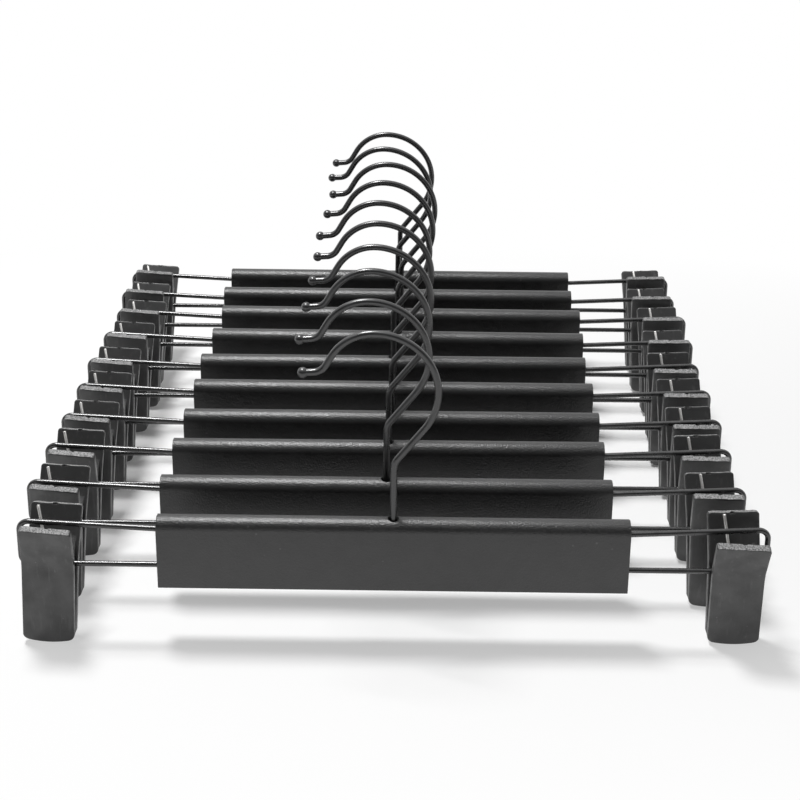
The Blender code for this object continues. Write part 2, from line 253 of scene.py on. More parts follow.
def clip_place(hanger, side):
    """A clip's place on the rod with its lean, found from the tip of its packed front jaw."""
    sizes = settings().jaw
    place = Matrix.Translation(hinge_place(hanger, side)) @ hanger_turn(hanger)
    points = packed_points(hanger + "_" + side + "_front_jaw", place)
    tip = max(points, key=lambda point: math.hypot(point.y, point.z))
    lean = math.atan2(tip.z, tip.y) - math.atan2(-sizes.reach, -sizes.tip_out)
    return place @ Matrix.Rotation(lean, 4, "X")


def rolled_place(hanger, side):
    """A clip's place with its small roll on the rod."""
    sizes = settings().jaw
    roll = sizes.left_roll if side == "left" else -sizes.right_roll
    return clip_place(hanger, side) @ Matrix.Rotation(roll, 4, "Y")


def hook_place(hanger):
    """A hook's place on the bar with its turn, found from the middle of its packed points."""
    node = hanger + "_hook"
    pivot = Vector(JOINTS[node + "_swivel"]["pos_m"])
    foot = Matrix.Translation((pivot.x, pivot.y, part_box(node)[0][2])) @ hanger_turn(hanger)
    points = packed_points(node, foot)
    middle = sum(points, Vector()) / len(points)
    return foot @ Matrix.Rotation(math.atan2(-middle.y, -middle.x), 4, "Z")


# Making and placing meshes

def new_object(name, data):
    """A new object in the open scene."""
    made = bpy.data.objects.new(name, data)
    bpy.context.scene.collection.objects.link(made)
    return made


def aimed(way, axis="Z"):
    """The turn that brings an axis along a way."""
    return way.to_track_quat(axis, "Y").to_matrix().to_4x4()


def smooth(mesh, sharp):
    """Shade a mesh smooth, apart from edges past an angle in degrees."""
    mesh.shade_smooth()
    mesh.set_sharp_from_angle(angle=math.radians(sharp))


def finished_mesh(bm, name, sharp=35.0):
    """Close up a bmesh as a mesh that is smooth between its sharp edges."""
    bmesh.ops.remove_doubles(bm, verts=bm.verts, dist=SAME_POINT)
    bmesh.ops.recalc_face_normals(bm, faces=bm.faces)
    mesh = bpy.data.meshes.new(name)
    bm.to_mesh(mesh)
    bm.free()
    smooth(mesh, sharp)
    return mesh


def tool_object(bm, name):
    """A helper object for cutting and joining."""
    return new_object(name, finished_mesh(bm, name))


def drill(name, radius, depth, place, flare=1.0):
    """A round cutter along its place's Z, wider at the top by a share."""
    bm = bmesh.new()
    bmesh.ops.create_cone(bm, cap_ends=True, cap_tris=False, segments=32, radius1=radius,
                          radius2=radius * flare, depth=depth, matrix=place)
    return tool_object(bm, name)


def combine(base, steps):
    """Join or cut a helper object by others in turn, and give back one mesh."""
    for operation, tool in steps:
        modifier = base.modifiers.new(tool.name, "BOOLEAN")
        modifier.operation = operation
        modifier.solver = "EXACT"
        modifier.object = tool
    bpy.context.view_layer.update()
    graph = bpy.context.evaluated_depsgraph_get()
    mesh = bpy.data.meshes.new_from_object(base.evaluated_get(graph))
    for helper in [base] + [tool for _, tool in steps]:
        spent = helper.data
        bpy.data.objects.remove(helper)
        bpy.data.meshes.remove(spent)
    return mesh


def put(pattern, name, place, finish, body, stands_for=None, skew=None):
    """Place a copy of a pattern mesh in the row, skewed if asked, and let it ride on its body."""
    mesh = pattern.copy()
    mesh.name = name
    if skew is not None:
        skew_jaw(mesh, skew)
    mesh.transform(place)
    mesh.materials.clear()
    mesh.materials.append(finish)
    piece = new_object(name, mesh)
    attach(piece, body)
    if stands_for:
        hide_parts(stands_for)


def edges_in(items):
    """The edges among what a mesh step gave back."""
    return [item for item in items if isinstance(item, bmesh.types.BMEdge)]


def corners_in(items):
    """The corners among what a mesh step gave back."""
    return [item for item in items if isinstance(item, bmesh.types.BMVert)]


def folds(bm, degrees):
    """The edges whose faces turn by more than an angle."""
    return [edge for edge in bm.edges if edge.calc_face_angle(0.0) > math.radians(degrees)]


def round_off(bm, geom, offset, segments, affect="EDGES", clamp=False):
    """Round edges or corners off."""
    bmesh.ops.bevel(bm, geom=geom, offset=offset, offset_type="OFFSET", segments=segments, profile=0.5,
                    affect=affect, material=-1, clamp_overlap=clamp)


def thicken(bm, faces, way):
    """Raise flat faces into a solid."""
    raised = bmesh.ops.extrude_face_region(bm, geom=faces)["geom"]
    bmesh.ops.translate(bm, verts=corners_in(raised), vec=way)
    bmesh.ops.recalc_face_normals(bm, faces=bm.faces)


def swing(bm, geom, centre, axis, turn, steps, drift=(0, 0, 0)):
    """Swing open edges or a corner round an axis, and give back where they end."""
    made = bmesh.ops.spin(bm, geom=geom, cent=centre, axis=axis, dvec=drift, angle=turn, steps=steps,
                          use_merge=False, use_duplicate=False)
    return made["geom_last"]


def wire_ring(bm, radius, sides, place):
    """Start a wire with an open ring of edges."""
    bmesh.ops.create_circle(bm, cap_ends=False, radius=radius, segments=sides, matrix=place)
    return bm.edges[:]


class BentWire:
    """A wire bent up in the X-Z plane: a ring of edges is run straight on or swung round a bend."""

    def __init__(self, radius, sides, heading):
        self.bm = bmesh.new()
        self.place = Vector((0.0, 0.0, 0.0))
        self.heading = heading
        self.ring = wire_ring(self.bm, radius, sides, Matrix.Rotation(math.pi / 2 - heading, 4, "Y"))

    def ahead(self):
        """The way the wire points."""
        return Vector((math.cos(self.heading), 0.0, math.sin(self.heading)))

    def across(self):
        """Square to the wire, in its plane."""
        return Vector((-math.sin(self.heading), 0.0, math.cos(self.heading)))

    def ring_corners(self):
        """The corners of the open ring, each once."""
        return list(dict.fromkeys(vert for edge in self.ring for vert in edge.verts))

    def cap(self):
        """Close the open ring with a face."""
        bmesh.ops.edgeloop_fill(self.bm, edges=self.ring)

    def run(self, distance, grow=1.0):
        """Run straight on, and grow or shrink the ring."""
        self.ring = edges_in(bmesh.ops.extrude_edge_only(self.bm, edges=self.ring)["geom"])
        self.place = self.place + self.ahead() * distance
        corners = self.ring_corners()
        bmesh.ops.translate(self.bm, verts=corners, vec=self.ahead() * distance)
        if grow != 1.0:
            bmesh.ops.scale(self.bm, verts=corners, vec=(grow, grow, grow),
                            space=Matrix.Translation(-self.place))

    def bend(self, radius, turn, steps):
        """Swing round a bend; a positive turn goes from X towards Z."""
        way = math.copysign(1.0, turn)
        centre = self.place + self.across() * radius * way
        last = swing(self.bm, self.ring_corners() + self.ring, centre, (0, -way, 0), abs(turn), steps)
        self.ring = edges_in(last)
        self.heading += turn
        self.place = centre - self.across() * radius * way

    def swell(self, radius, to_radius, rings):
        """Grow the end into a ball whose middle is ahead, and close it."""
        start = math.asin(min(1.0, radius / to_radius))
        sweep = math.pi - start
        now = radius
        at = -to_radius * math.cos(start)
        for step in range(1, rings):
            turn = start + sweep * step / rings
            grown = to_radius * math.sin(turn)
            reached = -to_radius * math.cos(turn)
            self.run(reached - at, grown / now)
            now = grown
            at = reached
        self.cap()


# Finishes

def feed(tree, socket, value):
    """Link a value to a socket, or set it there."""
    if isinstance(value, bpy.types.NodeSocket):
        tree.links.new(value, socket)
    else:
        socket.default_value = value


def add(tree, kind, inputs=None, **attributes):
    """Add a node, set its attributes, and feed its inputs."""
    made = tree.nodes.new(kind)
    for key, value in attributes.items():
        setattr(made, key, value)
    for key, value in (inputs or {}).items():
        feed(tree, made.inputs[key], value)
    return made


def blank_tree(owner, output):
    """Empty the nodes of a material or world, and give back its tree and its surface socket."""
    owner.use_nodes = True
    tree = owner.node_tree
    tree.nodes.clear()
    return tree, tree.nodes.new(output).inputs["Surface"]


def times(tree, first, second):
    """Two values multiplied."""
    return add(tree, "ShaderNodeMath", {0: first, 1: second}, operation="MULTIPLY").outputs["Value"]


def summed(tree, first, second):
    """Two values added."""
    made = add(tree, "ShaderNodeMath", {0: first, 1: second}, operation="ADD", use_clamp=True)
    return made.outputs["Value"]


def ranged(tree, value, low=0.0, high=1.0, to=(0.0, 1.0), **attributes):
    """Bring a value from one range to another."""
    inputs = {"Value": value, "From Min": low, "From Max": high, "To Min": to[0], "To Max": to[1]}
    return add(tree, "ShaderNodeMapRange", inputs, **attributes).outputs["Result"]


def mottle(tree, place, scale, detail, roughness=0.5):
    """A soft noise over a surface."""
    inputs = {"Vector": place, "Scale": scale, "Detail": detail, "Roughness": roughness}
    return add(tree, "ShaderNodeTexNoise", inputs).outputs["Fac"]


def new_group(name, inputs, outputs):
    """A shader node group with named number inputs and outputs."""
    tree = bpy.data.node_groups.new(name, "ShaderNodeTree")
    for way, labels in (("INPUT", inputs), ("OUTPUT", outputs)):
        for label in labels:
            tree.interface.new_socket(name=label, in_out=way, socket_type="NodeSocketFloat")
    return tree, tree.nodes.new("NodeGroupInput").outputs, tree.nodes.new("NodeGroupOutput").inputs


def grain_group():
    """Fine grain of a moulded or sprayed skin, over soft unevenness."""
    tree, given, result = new_group("skin_grain", ["Grain", "Unevenness"], ["Height", "Patches"])
    place = add(tree, "ShaderNodeTexCoord").outputs["Object"]
    fine = mottle(tree, place, given["Grain"], detail=3.0, roughness=0.6)
    broad = mottle(tree, place, given["Unevenness"], detail=4.0, roughness=0.55)
    tree.links.new(fine, result["Height"])
    tree.links.new(ranged(tree, broad, 0.36, 0.66), result["Patches"])
    return tree


def speck_group():
    """Scattered dust specks and short rubbed marks."""
    tree, given, result = new_group("specks_and_rubs", ["Spacing", "Share"], ["Specks", "Rubs"])
    place = add(tree, "ShaderNodeTexCoord").outputs["Object"]
    cells = add(tree, "ShaderNodeTexVoronoi", {"Vector": place, "Scale": given["Spacing"],
                                               "Randomness": 1.0})
    near = ranged(tree, cells.outputs["Distance"], 0.05, 0.20, to=(1.0, 0.0))
    split = add(tree, "ShaderNodeSeparateColor", {"Color": cells.outputs["Color"]})
    chosen = add(tree, "ShaderNodeMath", {0: split.outputs["Red"], 1: given["Share"]},
                 operation="LESS_THAN")
    drawn = add(tree, "ShaderNodeMapping", {"Vector": place, "Scale": (1.0, 1.0, 0.16)})
    streak = mottle(tree, drawn.outputs["Vector"], given["Spacing"], detail=5.0)
    specks = times(tree, near, chosen.outputs["Value"])
    tree.links.new(specks, result["Specks"])
    tree.links.new(ranged(tree, streak, 0.58, 0.78), result["Rubs"])
    return tree


def skin_grain(tree, grain, unevenness):
    """The grain group in a material, with its own values."""
    group = bpy.data.node_groups.get("skin_grain") or grain_group()
    values = {"Grain": grain, "Unevenness": unevenness}
    return add(tree, "ShaderNodeGroup", values, node_tree=group).outputs


def skin_marks(tree, spacing, share):
    """The group of specks and rubs in a material, with its own values."""
    group = bpy.data.node_groups.get("specks_and_rubs") or speck_group()
    return add(tree, "ShaderNodeGroup", {"Spacing": spacing, "Share": share}, node_tree=group).outputs


def start_material(name, specular=0.5):
    """A material with only its output and one Principled shader."""
    material = bpy.data.materials.new(name)
    tree, surface = blank_tree(material, "ShaderNodeOutputMaterial")
    shader = add(tree, "ShaderNodeBsdfPrincipled", {"Specular IOR Level": specular})
    tree.links.new(shader.outputs["BSDF"], surface)
    return material, tree, shader


def shade(base, factor):
    """A colour made darker or lighter."""
    return tuple(min(1.0, factor * part) for part in base)


def blend_colours(tree, share, first, second):
    """Mix two colours by a share that changes over the surface."""
    mix = add(tree, "ShaderNodeMix", {"Factor": share}, data_type="RGBA")
    ends = [socket for socket in mix.inputs if socket.type == "RGBA"]
    for socket, value in zip(ends, (first, second)):
        feed(tree, socket, value if isinstance(value, bpy.types.NodeSocket) else (*value, 1.0))
    return [socket for socket in mix.outputs if socket.type == "RGBA"][0]


def dusted(tree, tone, specks, share, grey):
    """Lay grey specks of dust over a colour."""
    return blend_colours(tree, times(tree, specks, share), tone, (grey, grey, grey))


def link_looks(tree, shader, tone, rough, height, strength, depth):
    """Link a shader's colour and roughness, and raise its surface by a height map."""
    raised = add(tree, "ShaderNodeBump", {"Height": height, "Strength": strength, "Distance": depth})
    looks = {"Base Color": tone, "Roughness": rough, "Normal": raised.outputs["Normal"]}
    for key, value in looks.items():
        tree.links.new(value, shader.inputs[key])


def bar_skin():
    """Matt black skin of the bars: a fine pebbled grain with rubbed patches and a few specks."""
    finish = settings().finish
    material, tree, shader = start_material("bar_matt_black_skin", specular=0.75)
    grain = skin_grain(tree, grain=1350.0, unevenness=110.0)
    marks = skin_marks(tree, spacing=300.0, share=0.04)
    tone = blend_colours(tree, grain["Patches"], finish.bar, finish.bar_rub)
    tone = dusted(tree, tone, marks["Specks"], share=0.35, grey=0.16)
    rough = ranged(tree, grain["Height"], to=(0.22, 0.46))
    link_looks(tree, shader, tone, rough, grain["Height"], strength=1.0, depth=0.00023)
    return material


def lacquer(name, base, rough, grain_size):
    """Black lacquer on wire: nearly smooth, with faint orange peel and handling marks."""
    material, tree, shader = start_material(name, specular=0.95)
    grain = skin_grain(tree, grain=grain_size, unevenness=160.0)
    marks = skin_marks(tree, spacing=700.0, share=0.03)
    tone = blend_colours(tree, grain["Patches"], base, shade(base, 2.4))
    tone = dusted(tree, tone, marks["Specks"], share=0.25, grey=0.2)
    uneven = ranged(tree, grain["Patches"], to=(rough, rough + 0.10))
    uneven = summed(tree, uneven, times(tree, marks["Rubs"], 0.08))
    link_looks(tree, shader, tone, uneven, grain["Height"], strength=0.015, depth=0.00005)
    return material


def jaw_plastic():
    """Dark grey moulded plastic: darker with painted shade and a painted shadow line, paler where edges
    are scuffed and on the handle ends, where a painted highlight goes with the scuffing.
    """
    finish = settings().finish
    material, tree, shader = start_material("clip_grey_plastic", specular=1.0)
    grain = skin_grain(tree, grain=1500.0, unevenness=120.0)
    marks = skin_marks(tree, spacing=520.0, share=0.03)
    # Pale share: scuffing on the edges, and on the handle ends a painted highlight together with
    # scuffing.
    worn = add(tree, "ShaderNodeAttribute", attribute_name="worn").outputs["Fac"]
    # Painted shade: a dark patch in front of the rod and a dark line below the handle's end.
    sunk = add(tree, "ShaderNodeAttribute", attribute_name="sunk").outputs["Fac"]
    grainy_scuff_and_highlight = times(tree, worn, ranged(tree, grain["Height"], 0.38, 0.68))
    # This pale share is scuffing and painted highlight, broken up by the grain, with rub marks added.
    rubbed = summed(tree, grainy_scuff_and_highlight, times(tree, marks["Rubs"], 0.10))
    tone = blend_colours(tree, grain["Patches"], shade(finish.jaw, 0.55), finish.jaw)
    # Darken towards a fifth of the colour where the painted shade lies.
    tone = blend_colours(tree, times(tree, sunk, 0.9), tone, shade(finish.jaw, 0.2))
    # Lighten towards the pale colour: scuffing, and painted highlight on the handle ends.
    tone = blend_colours(tree, rubbed, tone, finish.jaw_pale)
    tone = dusted(tree, tone, marks["Specks"], share=0.3, grey=0.30)
    rough = ranged(tree, grain["Patches"], to=(0.52, 0.36))
    rough = summed(tree, rough, times(tree, worn, 0.22))
    link_looks(tree, shader, tone, rough, grain["Height"], strength=0.32, depth=0.00010)
    return material


def spring_steel():
    """Bright drawn steel with fine marks and a little tarnish."""
    steel = settings().finish.steel
    material, tree, shader = start_material("spring_bright_steel")
    shader.inputs["Metallic"].default_value = 1.0
    grain = skin_grain(tree, grain=3200.0, unevenness=500.0)
    marks = skin_marks(tree, spacing=1500.0, share=0.1)
    tone = blend_colours(tree, grain["Patches"], steel, shade(steel, 0.85))
    rough = ranged(tree, grain["Patches"], to=(0.34, 0.44))
    rough = summed(tree, rough, times(tree, marks["Rubs"], 0.15))
    link_looks(tree, shader, tone, rough, grain["Height"], strength=0.06, depth=0.00005)
    return material


# Wire loop, bar and hook, in a hanger's own place

# Lengths are in metres, and shares are of the size that they are multiplied with
KINK_RADIUS = 0.012
LOOP_SEAM = 2e-5


def loop_pattern():
    """The closed wire loop; its middle is the middle of the lower rod."""
    sizes = settings().loop
    half = sizes.width / 2 - sizes.wire / 2
    bar_half = settings().bar.length / 2
    slope = math.atan2(sizes.rise, half - bar_half)
    kink = KINK_RADIUS * math.tan(slope / 2)
    corner_turn = math.pi / 2 + slope
    corner = sizes.upper_bend * math.tan(corner_turn / 2)
    arm = math.hypot(half - bar_half, sizes.rise) - corner - kink
    post = sizes.spacing + sizes.rise - sizes.lower_bend - corner
    foot = half - sizes.lower_bend
    # Each bend has a radius, a turn and a number of steps
    low = (sizes.lower_bend, math.pi / 2, 10)
    high = (sizes.upper_bend, corner_turn, 12)
    dip = (KINK_RADIUS, -slope, 2)
    wire = BentWire(sizes.wire / 2, sides=18, heading=0.0)
    wire.run(foot)
    for bend, straight in ((low, post), (high, arm), (dip, 2 * (bar_half - kink)), (dip, arm),
                           (high, post), (low, foot)):
        wire.bend(*bend)
        wire.run(straight)
    bmesh.ops.remove_doubles(wire.bm, verts=wire.bm.verts, dist=LOOP_SEAM)
    return finished_mesh(wire.bm, "loop_pattern", sharp=60.0)


BAR_TOP_SHARE = 0.497
BAR_END_SHARE = 1.5
SAME_LEVEL = 1e-6
BAR_RAG = 0.00022
BAR_RAG_INSET = 0.0001
BAR_RAG_SCALE = (40.0, 600.0, 420.0)
ROD_HOLE_ROOM = 0.0003
ROD_HOLE_DEPTH = 0.004
SOCKET_DEPTH = 0.003
SOCKET_MIDDLE = 0.0006
SOCKET_FOOT = 0.74
SOCKET_FLARE = 1.45
WELL_DEPTH = 0.0028
WELL_MIDDLE = 0.0031


def bar_block(sizes, low, high):
    """The bar before its holes: a block with a round top and ragged cut ends."""
    bm = bmesh.new()
    block = Matrix.Translation((0, 0, (low + high) / 2)) @ Matrix.Diagonal(
        (sizes.length, sizes.thickness, high - low, 1.0))
    bmesh.ops.create_cube(bm, size=1.0, matrix=block)
    top = [edge for edge in bm.edges
           if all(vert.co.z > high - SAME_LEVEL for vert in edge.verts)
           and abs(edge.verts[0].co.x - edge.verts[1].co.x) > SAME_LEVEL]
    round_off(bm, top, sizes.thickness * BAR_TOP_SHARE, segments=16)
    round_off(bm, folds(bm, degrees=40), sizes.edge, segments=3, clamp=True)
    for vert in bm.verts:
        if abs(vert.co.x) > sizes.length / 2 - sizes.edge * BAR_END_SHARE:
            rag = noise.noise(vert.co * Vector(BAR_RAG_SCALE))
            vert.co.x += math.copysign(BAR_RAG * rag - BAR_RAG_INSET, vert.co.x)
    return tool_object(bm, "bar_block")


def bar_pattern():
    """The bar, with a socket for the hook in its round top and holes for the rods in its ends."""
    sizes = settings().bar
    rods = settings().loop
    high = rods.spacing + sizes.crown
    base = bar_block(sizes, -sizes.skirt, high)
    cutters = []
    for end in (-1, 1):
        for height in (0.0, rods.spacing):
            where = Matrix.Translation((end * sizes.length / 2, 0, height)) @ SIDE_ON
            cutters.append(drill("rod_hole", rods.wire / 2 + ROD_HOLE_ROOM, ROD_HOLE_DEPTH, where))
    socket = Matrix.Translation((0, 0, high - SOCKET_MIDDLE))
    cutters.append(drill("hook_socket", sizes.socket * SOCKET_FOOT, SOCKET_DEPTH, socket, SOCKET_FLARE))
    well = Matrix.Translation((0, 0, high - WELL_MIDDLE))
    cutters.append(drill("hook_well", sizes.socket, WELL_DEPTH, well))
    mesh = combine(base, [("DIFFERENCE", cutter) for cutter in cutters])
    smooth(mesh, sharp=32.0)
    return mesh


def hook_pattern():
    """The hook, from the foot of its head."""
    sizes = settings().hook
    radius = sizes.wire / 2
    ball = sizes.ball / 2
    wire = BentWire(sizes.head / 2, sides=20, heading=math.pi / 2)
    wire.cap()
    wire.run(sizes.head_height)
    wire.run(0.0, sizes.wire / sizes.head)
    wire.run(sizes.play + sizes.seat + sizes.neck)
    wire.bend(sizes.neck_radius, -sizes.neck_turn, steps=10)
    wire.run(sizes.shoulder)
    wire.bend(sizes.arch_radius, math.pi / 2 + sizes.neck_turn, steps=36)
    wire.bend(sizes.tail_radius, sizes.tail_turn, steps=16)
    wire.run(sizes.limb)
    wire.bend(sizes.lip_radius, -sizes.lip_turn, steps=12)
    wire.run(sizes.lip - math.sqrt(max(0.0, ball ** 2 - radius ** 2)))
    wire.swell(radius, ball, rings=12)
    return finished_mesh(wire.bm, "hook_pattern", sharp=40.0)


# Clip jaws, with the lower rod at the origin and the tip below it

# Places on the flat jaw are across from its middle and up from its tip
JAW_ROWS = 58
JAW_COLUMNS = 20
JAW_LAYERS = 4
SKIN_SHARE = 0.2
BOW_REACH = 0.010
SINK_MIDDLE = (-0.0008, 0.0365)
SINK_SPREAD = (0.0042, 0.0026)
SINK_DEPTH = 0.0005
TEETH_FROM = 0.0012
TEETH_TO = 0.0105
TEETH_MARGIN = 0.0012
TEETH_DEPTH = 0.00028
END_RIM_SHARE = 1.1
END_REACH = 0.0004
END_ROUGH = 0.00015
END_ROUGH_SCALE = (520.0, 300.0, 900.0)
END_ROUGH_SHIFT = 4.0
END_WAVE = 0.00018
END_WAVE_SCALE = (170.0, 300.0)
END_WAVE_SHIFT = 2.0


def inward(heading):
    """From the outer face of a jaw into its wall, in the Y-Z plane."""
    return Vector((math.sin(heading), -math.cos(heading)))


class JawLine:
    """The side line of a jaw's outer face: tip to knee, round the knee, and on to the handle's end."""

    def __init__(self, sizes):
        self.tip = Vector((-sizes.tip_out, -sizes.reach))
        knee = Vector((-sizes.knee_out, sizes.knee))
        end = Vector((-sizes.spread, sizes.rise))
        self.lower = (knee - self.tip).normalized()
        upper = (end - knee).normalized()
        self.heading = math.atan2(self.lower.y, self.lower.x)
        turn = math.atan2(upper.y, upper.x) - self.heading
        self.radius = sizes.knee_radius
        tangent = self.radius * math.tan(turn / 2)
        self.first = (knee - self.tip).length - tangent
        self.arc = self.radius * turn
        self.length = self.first + self.arc + (end - knee).length - tangent

    def at(self, distance):
        """The point and the heading at a distance from the tip."""
        heading = self.heading
        point = self.tip + self.lower * min(distance, self.first)
        if distance > self.first:
            centre = point - inward(heading) * self.radius
            heading += min(distance - self.first, self.arc) / self.radius
            point = centre + inward(heading) * self.radius
        rest = distance - self.first - self.arc
        if rest > 0:
            point = point + Vector((math.cos(heading), math.sin(heading))) * rest
        return point, heading

    def inside(self, distance, depth, across=0.0):
        """A point in the wall at a distance from the tip and a depth from the outer face."""
        point, heading = self.at(distance)
        point = point + inward(heading) * depth
        return Vector((across, point.x, point.y))


def jaw_plate(sizes, line):
    """The jaw's wall, moulded flat with its marks and then bent to its side line."""
    bm = bmesh.new()
    middle = Matrix.Translation((0, line.length / 2, 0))
    flat = middle @ Matrix.Diagonal((sizes.width, line.length, 1.0, 1.0))
    bmesh.ops.create_grid(bm, x_segments=1, y_segments=1, size=0.5, matrix=flat)
    for far, radius in ((False, sizes.tip_corner), (True, sizes.handle_corner)):
        corners = [vert for vert in bm.verts if (vert.co.y > line.length / 2) == far]
        round_off(bm, corners, radius, segments=7, affect="VERTICES")
    thicken(bm, bm.faces[:], (0, 0, sizes.thickness))
    round_off(bm, folds(bm, degrees=60), sizes.edge, segments=3)
    cuts = [((0, line.length * row / JAW_ROWS, 0), (0, 1, 0)) for row in range(1, JAW_ROWS)]
    cuts += [((sizes.width * (column / JAW_COLUMNS - 0.5), 0, 0), (1, 0, 0))
             for column in range(1, JAW_COLUMNS)]
    cuts += [((0, 0, sizes.thickness * layer / JAW_LAYERS), (0, 0, 1)) for layer in range(1, JAW_LAYERS)]
    for point, way in cuts:
        bmesh.ops.bisect_plane(bm, geom=bm.verts[:] + bm.edges[:] + bm.faces[:], dist=SAME_POINT,
                               plane_co=point, plane_no=way)
    last = line.length - sizes.edge * END_RIM_SHARE
    end = [edge for edge in bm.edges if all(vert.co.y > last for vert in edge.verts)]
    bmesh.ops.subdivide_edges(bm, edges=end, cuts=2, use_grid_fill=True)
    for vert in bm.verts:
        shape_flat_jaw(vert, sizes, line)
    for vert in bm.verts:
        vert.co = line.inside(vert.co.y, vert.co.z, vert.co.x)
    return tool_object(bm, "jaw_plate")


def shape_flat_jaw(vert, sizes, line):
    """Give a point of the flat jaw its place in the bowed tip, sink mark, grip teeth and rough end."""
    x, y, z = vert.co
    bow = sizes.crown * (2 * x / sizes.width) ** 2
    if y < BOW_REACH:
        vert.co.y += bow * (1 - y / BOW_REACH)
    if z < sizes.thickness * SKIN_SHARE:
        sink = math.exp(-(((x - SINK_MIDDLE[0]) / SINK_SPREAD[0]) ** 2
                          + ((y - SINK_MIDDLE[1]) / SINK_SPREAD[1]) ** 2))
        vert.co.z += SINK_DEPTH * sink
    in_teeth = TEETH_FROM < y < TEETH_TO and abs(x) < sizes.width / 2 - TEETH_MARGIN
    if z > sizes.thickness * (1 - SKIN_SHARE) and in_teeth:
        tooth = (y / line.length * JAW_ROWS) % 2.0
        vert.co.z -= TEETH_DEPTH * abs(tooth - 1.0)
    if y > line.length - END_REACH:
        rough = noise.noise(Vector((x * END_ROUGH_SCALE[0], y * END_ROUGH_SCALE[1],
                                    z * END_ROUGH_SCALE[2] + END_ROUGH_SHIFT)))
        wave = noise.noise(Vector((x * END_WAVE_SCALE[0], END_WAVE_SHIFT, z * END_WAVE_SCALE[1])))
        vert.co.y += END_ROUGH * rough + END_WAVE * wave


EAR_ROOT_AT = 0.6
EAR_ROOT_DEPTH = 0.55
EAR_SHOULDER = 1.45
EAR_PEAK_DEPTH = 0.75
EAR_EDGE = 0.0002


def ear(name, sizes, line, middle):
    """A lug of the jaw on the lower rod: a round end on a web that runs into the wall."""
    bm = bmesh.new()
    root = line.at(line.length * EAR_ROOT_AT)[0].x + sizes.thickness * EAR_ROOT_DEPTH
    side = middle - sizes.ear_width / 2
    foot = bm.verts.new((side, root, -sizes.ear))
    shoulder = bm.verts.new((side, root, sizes.ear * EAR_SHOULDER))
    peak = bm.verts.new(line.inside(line.length - sizes.web, sizes.thickness * EAR_PEAK_DEPTH, side))
    start = bm.verts.new((side, 0.0, -sizes.ear))
    last = corners_in(swing(bm, [start], (side, 0, 0), (1, 0, 0), math.pi, steps=18))[0]
    for pair in ((last, peak), (peak, shoulder), (shoulder, foot), (foot, start)):
        bm.edges.new(pair)
    face = bmesh.ops.edgeloop_fill(bm, edges=bm.edges[:])["faces"]
    thicken(bm, face, (sizes.ear_width, 0, 0))
    round_off(bm, folds(bm, degrees=60), EAR_EDGE, segments=2)
    return tool_object(bm, name)


BORE_SHARE = 1.2
NOTCH_SIZE = (0.0017, 0.0020, 0.0018)
NOTCH_SHIFT = 0.0004
PIN_MARK_RADIUS = 0.0016
PIN_MARK_DEPTH = 0.0003
PIN_MARK_SHIFT = 0.0042
PIN_MARK_BELOW_END = 0.0075


def gate_notch(sizes, line):
    """The cut left by the mould's gate, on the inner rim of the handle's end."""
    heading = line.at(line.length)[1]
    rim = line.inside(line.length, sizes.thickness, NOTCH_SHIFT)
    tilt = Matrix.Rotation(heading - math.pi / 2, 4, "X") @ Matrix.Rotation(math.pi / 4, 4, "Z")
    wedge = Matrix.Translation(rim) @ tilt @ Matrix.Diagonal((*NOTCH_SIZE, 1.0))
    bm = bmesh.new()
    bmesh.ops.create_cube(bm, size=1.0, matrix=wedge)
    return tool_object(bm, "gate_notch")


def pin_mark(sizes, line):
    """The round mark left by the mould's pin, on the inner face of the handle."""
    distance = line.length - PIN_MARK_BELOW_END
    place = Matrix.Translation(line.inside(distance, sizes.thickness, PIN_MARK_SHIFT))
    turn = Matrix.Rotation(line.at(distance)[1] - math.pi, 4, "X")
    return drill("pin_mark", PIN_MARK_RADIUS, PIN_MARK_DEPTH, place @ turn)


END_DEPTH = 0.0012
FACES_END = 0.80
FACES_RIM = 0.2
FACES_OUT = 0.3
FACES_FRONT = -0.5
FRONT_OF_ROD = -0.004
EDGE_FOLD = math.radians(18)
EDGE_WEAR = 0.2
SHADE_SPREAD = (0.0052, 0.0023)
SHADE_BELOW_ROD = 0.0016
SHADE_SAG = 0.0012


